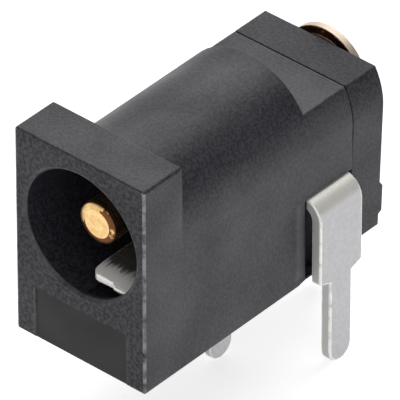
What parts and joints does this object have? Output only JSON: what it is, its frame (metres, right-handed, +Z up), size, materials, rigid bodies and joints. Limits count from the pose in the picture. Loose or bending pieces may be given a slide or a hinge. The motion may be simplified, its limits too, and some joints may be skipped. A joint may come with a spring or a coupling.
{
  "type": "dc barrel jack",
  "caption": "Right-angle DC power jack for board mounting: black moulded body with a round plug opening, a brass centre pin, and solder leads for pin, sleeve and switch.",
  "frame": {"origin": "on the board face, at the middle of the bottom edge of the front face", "axes": "+Z up from the board, +Y from the front face to the rear, along the way the plug goes in; the switch terminal is on the +X side"},
  "size_m": [0.0066, 0.0134, 0.0127],
  "materials": {
    "black_plastic": "fine grained black moulding",
    "rear_plastic": "fine grained black moulding",
    "pin_brass": "turned, satin",
    "tinned_sheet": "stamped and tin plated, satin",
    "spring_sheet": "formed spring sheet, plated, bright"
  },
  "bodies": {
    "root": {"housing": "black_plastic", "rear_block": "rear_plastic", "centre_pin": "pin_brass", "pin_terminal": "tinned_sheet", "sleeve_contact": "spring_sheet", "switch_terminal": "tinned_sheet"}
  },
  "joints": []
}
